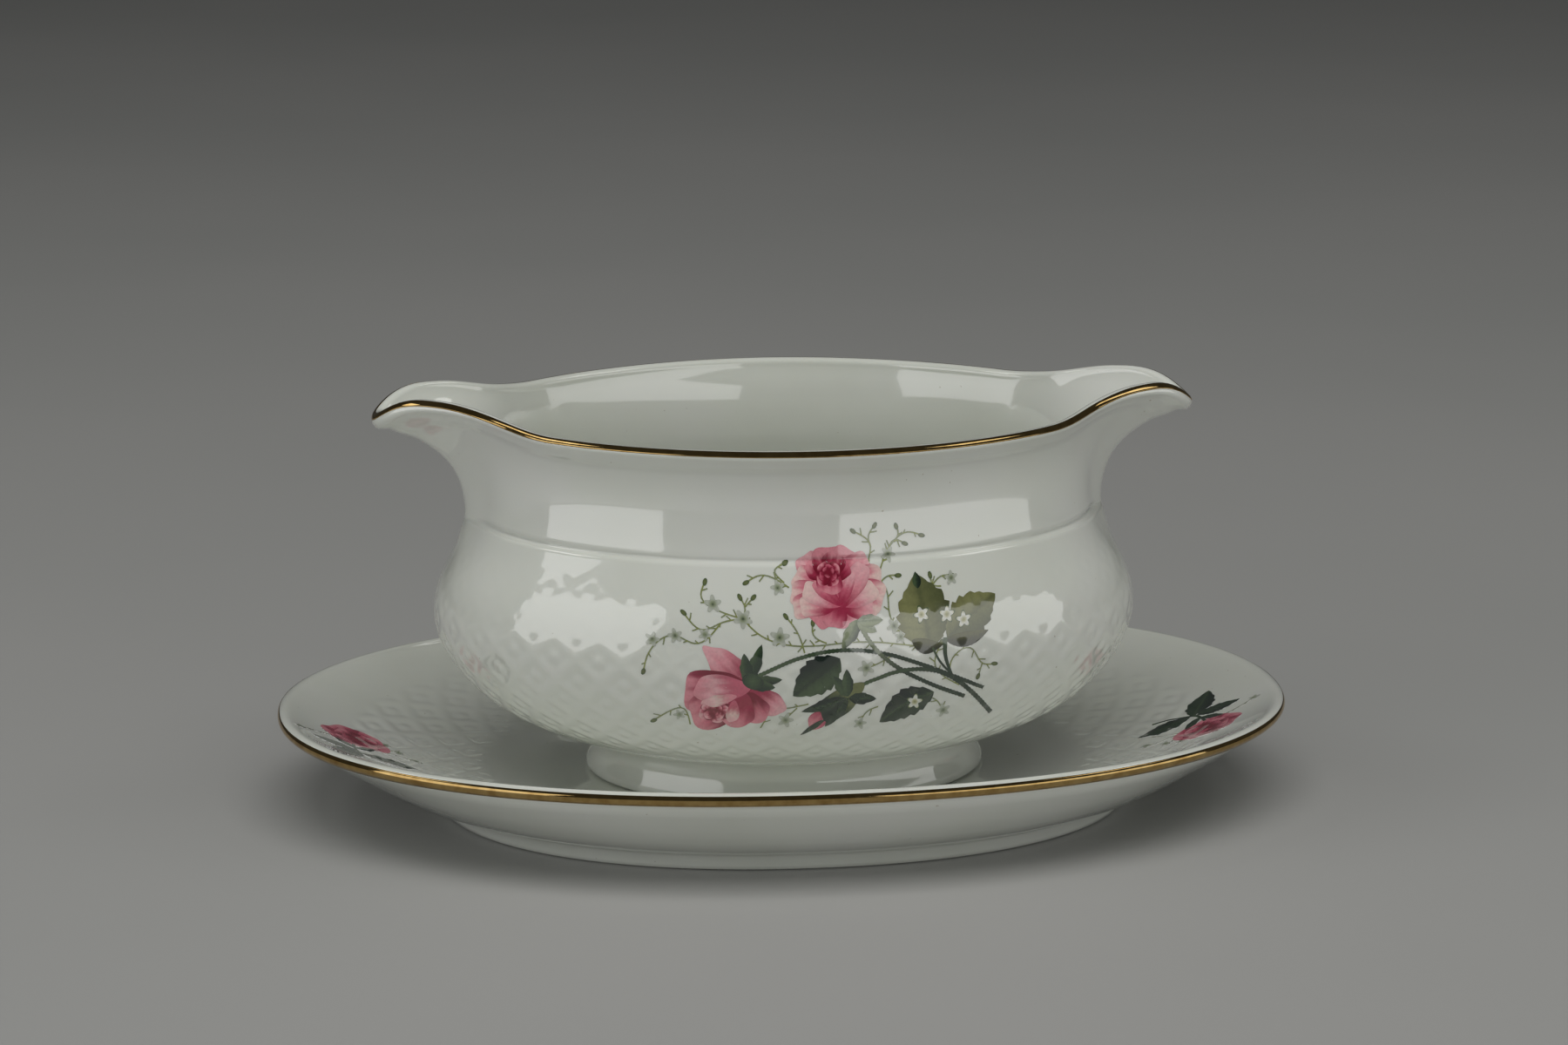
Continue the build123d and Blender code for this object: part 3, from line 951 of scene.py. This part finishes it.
def boat_spray():
    """The large spray on the side of the boat, as (distance along the boat, height)."""
    twigs = [
        [(-30, 59.5), (-26, 56), (-22, 57.5), (-17, 58.5)],
        [(-17, 58.5), (-14, 55.5), (-4, 52.5), (8, 53), (23, 51)],
        [(-39, 46), (-37.5, 51), (-32, 54.5), (-28, 53), (-22, 57.5)],
        [(-25, 66), (-26, 63), (-22, 60), (-17, 58.5)],
        [(-17.5, 63), (-16.5, 61), (-17, 58.5)],
        [(-14.5, 63), (-16.5, 61)],
        [(-16, 66), (-13, 67.5), (-6.5, 65)],
        [(-7, 70), (-9.5, 68.5), (-7.5, 66)],
        [(-7.5, 59), (-5, 55.5), (-3.5, 51)],
        [(-1.5, 57.5), (-1.5, 55), (1.5, 53)],
        [(8.5, 76.5), (12.5, 73), (12, 69.5), (15.5, 64), (16, 59), (23, 51)],
        [(13.5, 77.5), (12, 75), (12.5, 73)],
        [(24.5, 74.5), (21, 75.5), (16.5, 72), (14, 67)],
        [(18.5, 77), (19, 75.5), (18, 73.5)],
        [(20.5, 73), (18, 74), (16.5, 72)],
        [(18.5, 66.5), (16, 66.5), (14, 65)],
        [(26, 66), (26.5, 64), (28.5, 63.5)],
        [(31, 65.5), (28.5, 65.5), (26.5, 64)],
        [(41, 45), (38, 45.5), (35, 49.5), (31, 48), (30, 45)],
        [(37, 42.5), (38, 45.5)],
        [(-36.5, 34), (-30, 37.5), (-28.5, 33.5)],
        [(-12, 38), (-7, 38), (-2.5, 39)],
        [(-7.5, 35), (-6, 37), (-5, 38)],
        [(-16, 39), (-12, 37), (-13, 33)],
        [(23, 38), (26, 38.5), (29, 35)],
        [(9.5, 33.5), (11, 36.5), (13.5, 37.5)],
        [(10.5, 47), (13.5, 48), (16.5, 49.5)],
        [(28, 51.5), (26.5, 47), (32.5, 41)],
    ]
    flowers = [
        (-37, 53.5, 1.7), (-32, 54.5, 1.7), (-25.5, 55, 1.5), (-23.5, 61.5, 2.0), (-17, 58.5, 2.2),
        (-9, 54.5, 2.3), (-31, 36, 1.4), (-7.5, 35, 1.9), (-9, 65, 1.7), (16.5, 71, 1.8),
        (31, 65, 1.6), (17, 56, 1.8), (18.5, 53.5, 1.4), (10.5, 47, 2.0), (9.5, 33.5, 1.6),
        (29, 35, 1.8),
    ]
    shapes = [strand(points, 0.34, (TWIG, SAGE, TWIG), "sprigs") for points in twigs]
    for points in twigs:
        shapes += sprouts(points, 2.6, 1.3)
        (x, y), (next_x, next_y) = points[0], points[1]
        turn = math.degrees(math.atan2(next_y - y, next_x - x))
        shapes.append(disc((x, y), 0.85, 0.5, turn, (OLIVE, GREEN), count=10))
    for index, (x, y, radius) in enumerate(flowers):
        shapes.append(blossom((x, y), radius, 31 * index, SMALL_FLOWER))
    shapes += [
        leaf((4.5, 49.5), (-6, 41), 8.4, LEAF_DARK, teeth=6),
        leaf((26.5, 40), (14, 33.5), 7.2, LEAF_DEEP, teeth=6, bend=-1.0),
        leaf((25.5, 50.5), (22.5, 66.5), 12.4, LEAF_PALE, teeth=7),
        leaf((29.5, 52), (41.5, 60.5), 9.6, LEAF_PALE, teeth=7, bend=0.6),
        leaf((23, 63.5), (22.5, 67), 2.0, LEAF_DARK),
        leaf((21, 52.5), (28.5, 51), 3.4, LEAF_FOLD, bend=-0.9),
        leaf((29, 52), (39.5, 53), 3.4, LEAF_FOLD, bend=-0.9),
    ]
    for x, y in ((23.5, 58), (33.5, 56), (22, 38), (29.5, 57.5)):
        shapes.append(blossom((x, y), 2.1, 20 * x, (GREEN, GREEN), "leaves"))
        shapes.append(blossom((x, y), 1.8, 20 * x, WHITE_FLOWER, "leaves"))
    shapes += [
        strand([(26, 50.5), (27.5, 47.5), (30.5, 44)], 0.5, STEM),
        strand([(29, 52.5), (29, 48.5), (30.5, 44)], 1.1, STEM, end_width=0.6),
    ]
    for points, width, end_width, inks in (
        ([(-14.5, 45.5), (-4, 50), (10, 51), (22, 47.5), (38.5, 39.5)], 0.9, 0.9, STEM),
        ([(8.5, 58), (12, 52), (22, 44), (34, 38)], 0.95, 0.95, STEM_PALE),
        ([(9.5, 43), (17, 45.5), (27, 45), (35.5, 39), (41, 32.5)], 0.9, 1.1, STEM),
    ):
        shapes.append(strand(points, width, inks, end_width=end_width, thorns=0.3))
    shapes += main_rose()
    shapes += sepals((9, 58), [(5, 51.5)], (SAGE, DARK_GREEN, GREEN), 3.2)
    shapes += sepals((8.5, 57.5), [(13, 55), (14.5, 57.5)], SEPAL_PALE, 2.8)
    shapes += side_rose()
    shapes += sepals((-16, 44), [(-13, 53), (-17, 51), (-8.5, 45), (-10, 43)], SEPAL, 2.8)
    shapes.append(disc((-15, 44.5), 2.5, 1.8, -20, (GREEN, DARK_GREEN), "leaves", count=18))
    shapes += [
        petal((3, 38), (-2, 33), 4.0, (WINE, ROSE, PINK), 0.2),
        petal((10, 43.5), (0.5, 35.5), 6.2, (OLIVE, DARK_GREEN, NIGHT_GREEN), 0.2, group="leaves"),
    ]
    shapes += sepals((6.5, 40.5), [(3, 45.5), (6, 47)], SEPAL, 2.6)
    shapes += sepals((6.5, 40), [(-4, 37), (1.5, 33), (13, 39.5)], LEAF_DEEP, 2.8)
    shapes += sepals((1.5, 35), [(-4, 31)], LEAF_DEEP, 1.3, teeth=0)
    return shapes


def plate_spray():
    """The small spray at an end of the plate, about the point where its leaves meet."""
    twigs = [
        [(-10, -14), (-6, -10.5), (-2, -6)],
        [(14, -5), (8, -7.5), (3, -8)],
        [(-14, -9), (-9, -9.5), (-5, -9)],
        [(-11, -4), (-8, -6.5), (-5, -9)],
    ]
    shapes = [strand(points, 0.34, (TWIG, SAGE, TWIG), "sprigs") for points in twigs]
    for index, (x, y) in enumerate(((-9.5, -12.5), (-13.5, -9), (13.5, -5.2), (-6.5, -15.5))):
        shapes.append(blossom((x, y), 1.5, 31 * index, SMALL_FLOWER))
    shapes += rose((0.5, -12.8), (0, -12.1), (7.9, 6.6), SMALL_ROSE_RINGS)
    shapes += [
        strand([(-9, 4.6), (-4, 3), (0, 0)], 0.8, STEM),
        strand([(0, 0.5), (1, -3.5), (1.2, -7)], 0.8, STEM),
    ]
    for base, tip, width, teeth in (
        ((-0.6, 0.4), (-13.8, -1.4), 5.8, 5),
        ((0, 0), (6.4, 11.6), 6.6, 5),
        ((0.6, -0.6), (11, -1.8), 4.8, 5),
        ((0.8, -3), (5.6, -7.6), 2.6, 3),
        ((0.8, -3), (-3.8, -7.6), 2.4, 3),
    ):
        shapes.append(leaf(base, tip, width, LEAF_DEEP, teeth))
    return shapes


def arranged(shapes, crease):
    """Overlapping shapes as one flat net: its points, its triangles and the uppermost shape of each.

    Rows of points lie closer together over a crease, which is a range of heights.
    """
    outlines = np.concatenate([shape.outline for shape in shapes])
    starts = np.cumsum([0] + [len(shape.outline) for shape in shapes])
    loops = [list(range(first, last)) for first, last in zip(starts, starts[1:])]
    low, high = outlines.min(axis=0), outlines.max(axis=0)
    columns = np.arange(low[0], high[0], PRINT_GRAIN)
    rows = np.arange(low[1], high[1], PRINT_GRAIN * 0.87)
    rows = np.concatenate([rows[(rows < crease[0]) | (rows > crease[1])], np.arange(*crease, CREASE_GRAIN)])
    grid = np.array([(x + PRINT_GRAIN / 2 * (i % 2), y) for i, y in enumerate(rows) for x in columns])
    covered = np.zeros(len(grid), bool)
    for shape in shapes:
        covered |= shape.holds(grid)
    points = [Vector(p) for p in np.concatenate([outlines, grid[covered]])]
    points, _, triangles, _, _, owners = delaunay_2d_cdt(points, [], loops, 1, 1e-4)
    owned = [(triangle, max(owner)) for triangle, owner in zip(triangles, owners) if owner]
    net = np.array([tuple(point) for point in points])
    return net, np.array([triangle for triangle, _ in owned]), np.array([top for _, top in owned])


def vertex_values(mesh, name):
    values = np.empty(len(mesh.vertices) * 3, np.float32)
    mesh.vertices.foreach_get(name, values)
    return values.reshape(-1, 3)


class Glaze:
    """A porcelain mesh that prints are laid on."""

    def __init__(self, piece):
        mesh = piece.data
        self.points = vertex_values(mesh, "co")
        self.normals = vertex_values(mesh, "normal")
        self.faces = [tuple(face.vertices) for face in mesh.polygons]
        self.tree = BVHTree.FromPolygons(self.points.tolist(), self.faces)

    def below(self, start, direction):
        """Point and smooth normal, in millimetres, where a line first meets the glaze."""
        place, _, index, _ = self.tree.ray_cast(Vector(start) * MM, Vector(direction))
        corners = list(self.faces[index])
        nearness = 1 / (np.linalg.norm(self.points[corners] - np.array(place), axis=1) + 1e-6)
        normal = (self.normals[corners] * nearness[:, None]).sum(axis=0)
        return np.array(place) / MM, normal / np.linalg.norm(normal)


def lay_print(name, shapes, glazed, chart, direction, body, material, crease=(0, 0)):
    """Lays shapes on the glaze as thin closed pieces, one for each group.

    chart gives the point in space that a ray starts from, and direction is where it goes.
    """
    points, triangles, tops = arranged(shapes, crease)
    laid = [glazed.below(chart(*point), direction) for point in points]
    places = np.array([place for place, _ in laid])
    normals = np.array([normal for _, normal in laid])
    for group in sorted({shape.group for shape in shapes}):
        chosen = [shapes[top].group == group for top in tops]
        mine, owners = triangles[chosen], tops[chosen]
        facing = np.cross(places[mine[:, 1]] - places[mine[:, 0]], places[mine[:, 2]] - places[mine[:, 0]])
        flip = np.sum(facing * normals[mine[:, 0]], axis=1) < 0
        mine[flip] = mine[flip][:, ::-1]
        used, corners = np.unique(mine, return_inverse=True)
        corners = corners.reshape(-1, 3)
        count = len(used)
        above = places[used] + normals[used] * PRINT_LIFT
        under = places[used] - normals[used] * PRINT_DEPTH
        edges = {}
        for a, b, c in corners.tolist():
            for edge in ((a, b), (b, c), (c, a)):
                edges[edge] = True
        sides = [(b, a, a + count, b + count) for a, b in edges if (b, a) not in edges]
        faces = corners.tolist() + (corners[:, ::-1] + count).tolist() + sides
        piece = new_mesh(f"{name}_{group}", np.concatenate([above, under]), faces)
        colours = np.ones((len(piece.data.loops), 4), np.float32)
        flat = points[used]
        for index, shape in enumerate(shapes):
            owned = np.nonzero(owners == index)[0]
            if len(owned):
                painted = shape.paint(flat[corners[owned]].reshape(-1, 2)).reshape(-1, 3, 3)
                colours[(owned[:, None] * 3 + np.arange(3)).ravel(), :3] = painted.reshape(-1, 3)
        layer = piece.data.color_attributes.new("ink", "FLOAT_COLOR", "CORNER")
        layer.data.foreach_set("color", np.clip(colours, 0, 1).ravel())
        piece.data.normals_split_custom_set_from_vertices(np.tile(normals[used], (2, 1)).tolist())
        piece.data.materials.append(material)
        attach(piece, body)


# Stage

def aim(thing, place, target, roll=0.0):
    """Puts a light or the camera at a place, in millimetres, looking at a target."""
    place, target = Vector(place) * MM, Vector(target) * MM
    back = (place - target).normalized()
    right = Vector((0, 0, 1)).cross(back).normalized()
    up = back.cross(right)
    turned = right * math.cos(roll) + up * math.sin(roll)
    matrix = Matrix((turned, back.cross(turned), back)).transposed().to_4x4()
    matrix.translation = place
    thing.matrix_world = matrix


BOAT_MIDDLE = (0, 0, 60)


def from_angles(azimuth, elevation, distance, target=BOAT_MIDDLE):
    a, e = math.radians(azimuth), math.radians(elevation)
    direction = np.array([math.sin(a) * math.cos(e), -math.cos(a) * math.cos(e), math.sin(e)])
    return np.array(target) + distance * direction


def soft_light(name, azimuth, elevation, distance, width, height, watts, colour, mirrored=True):
    data = bpy.data.lights.new(name, "AREA")
    data.shape = "RECTANGLE"
    data.size, data.size_y = width * MM, height * MM
    data.energy = watts
    data.color = colour
    light = bpy.data.objects.new(name, data)
    light.visible_camera = False
    light.visible_glossy = mirrored
    bpy.context.scene.collection.objects.link(light)
    aim(light, from_angles(azimuth, elevation, distance), BOAT_MIDDLE)


def build_stage():
    half, level = 9000, -0.1
    corners = [(x * half, y * half, level) for x, y in ((-1, -1), (1, -1), (1, 1), (-1, 1))]
    floor = new_mesh("floor", corners, [(0, 1, 2, 3)])
    material, tree, shader = new_material("pale_floor")
    paper = ramp(tree, noise(tree, 3), [
        (0.3, (0.40, 0.405, 0.395)),
        (0.7, (0.43, 0.43, 0.42)),
    ])
    tree.links.new(paper, shader.inputs["Base Color"])
    shader.inputs["Roughness"].default_value = 0.7
    floor.data.materials.append(material)

    world = bpy.data.worlds.new("studio")
    bpy.context.scene.world = world
    world.use_nodes = True
    background = world.node_tree.nodes["Background"]
    background.inputs["Color"].default_value = (0.46, 0.47, 0.46, 1)
    background.inputs["Strength"].default_value = 0.10

    # Azimuth, elevation, distance, width, height and watts of each light
    soft_light("window_left", -58, 14, 1300, 1150, 740, 3.5, (1.0, 1.0, 1.0))
    soft_light("window_right", 47, 8, 1300, 1700, 540, 3.3, (1.0, 1.0, 0.98))
    soft_light("high_left", -95, 50, 1500, 600, 300, 1.2, (1.0, 0.99, 0.97))
    soft_light("high_right", 80, 50, 1500, 600, 300, 1.0, (1.0, 0.99, 0.97))
    soft_light("overhead", 0, 70, 1500, 1500, 1000, 12.0, (1.0, 0.99, 0.97), mirrored=False)
    bpy.context.scene.view_settings.view_transform = "Standard"


def build_camera():
    camera_data = bpy.data.cameras.new("camera")
    camera_data.sensor_width = 36.0
    camera_data.lens = 97.4
    camera = bpy.data.objects.new("camera", camera_data)
    bpy.context.scene.collection.objects.link(camera)
    target = (-0.4, 0.0, 66.4)
    place = from_angles(azimuth=-7.7, elevation=14.1, distance=1000, target=target)
    aim(camera, place, target, roll=math.radians(0.3))
    bpy.context.scene.camera = camera


boat = boat_body()
boat_rim = boat_gold()
plate = plate_body()
plate_rim = plate_gold()
porcelain = porcelain_material()
gold = gold_material()
for piece, body, node, slot, material in (
    (boat, "boat", "boat", "porcelain", porcelain),
    (boat_rim, "boat", "boat_gold_line", "fired_gold", gold),
    (plate, "underplate", "underplate", "porcelain", porcelain),
    (plate_rim, "underplate", "plate_gold_band", "fired_gold", gold),
):
    piece.data.materials.append(material)
    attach(piece, body)
    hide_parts(node)

printed = print_material()
boat_glaze = Glaze(boat)
plate_glaze = Glaze(plate)
spray = boat_spray()
FAR = 300.0
groove = (SHOULDER_HEIGHT - 0.4, SHOULDER_HEIGHT + 2.4)
lay_print("front_spray", spray, boat_glaze, lambda x, z: (x, -FAR, z), (0, 1, 0), "boat", printed, groove)
lay_print("back_spray", spray, boat_glaze, lambda x, z: (-x, FAR, z), (0, -1, 0), "boat", printed, groove)
small = plate_spray()
for side_name, place, turn in (("right", (99.0, -3.0), 0.0), ("left", (-101.5, -14.8), 180.0)):
    shapes = [shape.placed(np.array(place), turn) for shape in small]
    lay_print(f"plate_{side_name}_spray", shapes, plate_glaze, lambda x, y: (x, y, FAR), (0, 0, -1),
              "underplate", printed)

build_stage()
build_camera()
